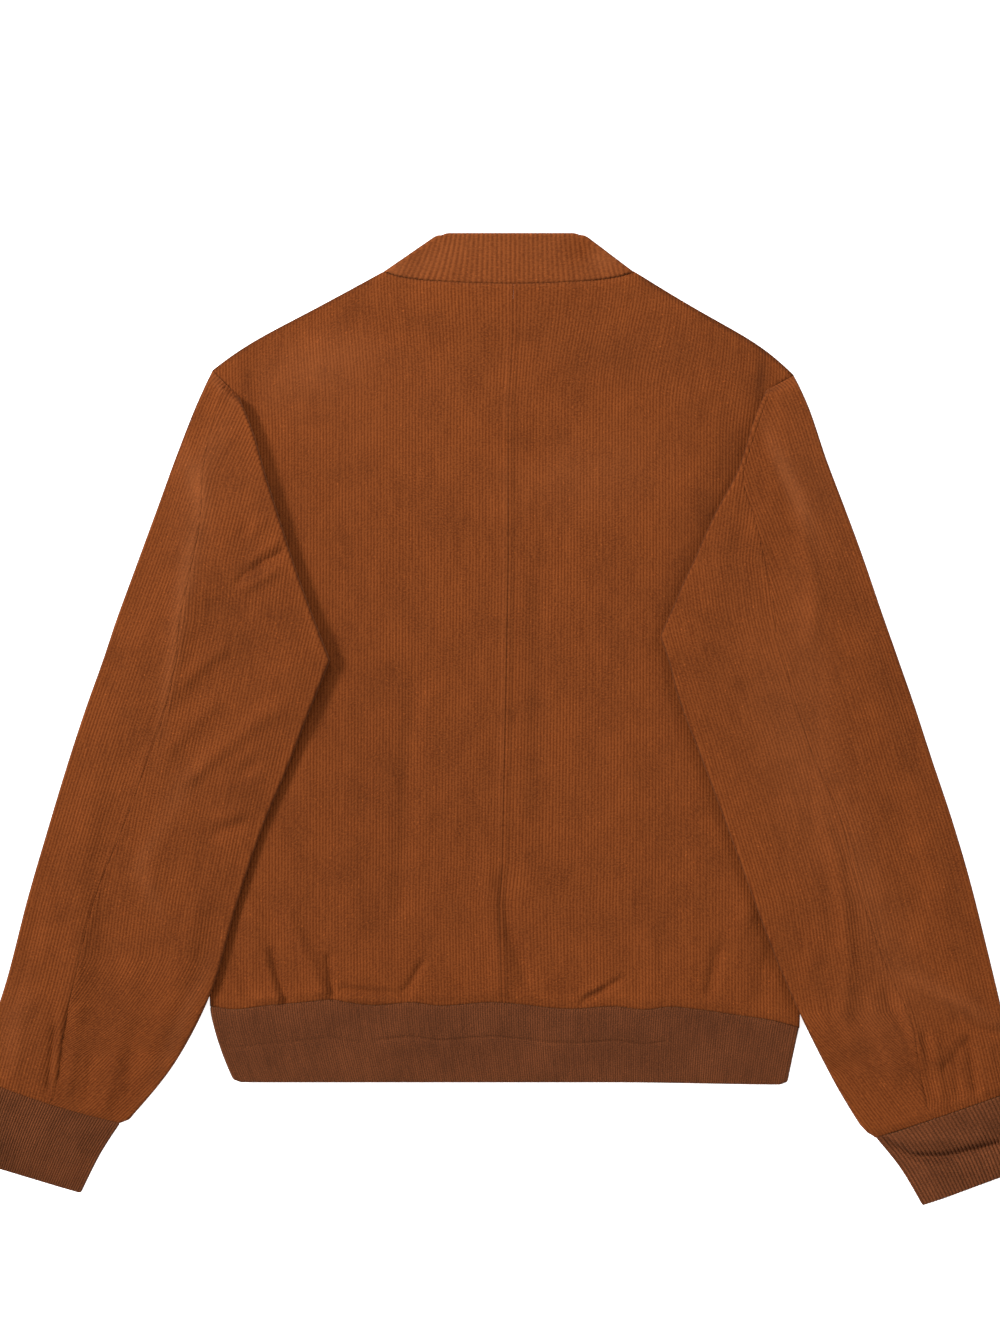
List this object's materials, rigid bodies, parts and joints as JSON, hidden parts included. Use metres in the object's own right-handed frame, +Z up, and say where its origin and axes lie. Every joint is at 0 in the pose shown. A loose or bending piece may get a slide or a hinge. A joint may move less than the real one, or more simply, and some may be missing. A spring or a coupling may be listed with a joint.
{
  "type": "corduroy jacket",
  "caption": "Waist-length corduroy blouson jacket laid flat, back up, with a stand collar, a shaped centre-back seam, two-piece sleeves, and rib-knit cuffs and hem band",
  "frame": {"origin": "middle of the laid jacket's outline, on the table", "axes": "+X to the wearer's right sleeve, +Y from the hem to the collar, +Z up from the table, out of the jacket's back"},
  "size_m": [0.894, 0.7993, 0.0143],
  "materials": {
    "corduroy": "rust-brown cotton corduroy with fine wales, matt pile with a soft sheen",
    "rib_knit": "dark brown rib knit, matt"
  },
  "bodies": {
    "root": {"back_left": "corduroy", "back_right": "corduroy", "front_left": "corduroy", "front_right": "corduroy", "collar": "corduroy", "sleeve_left_top": "corduroy", "sleeve_left_under": "corduroy", "sleeve_right_top": "corduroy", "sleeve_right_under": "corduroy", "cuff_left": "rib_knit", "cuff_right": "rib_knit", "hem_band": "rib_knit"}
  },
  "joints": []
}
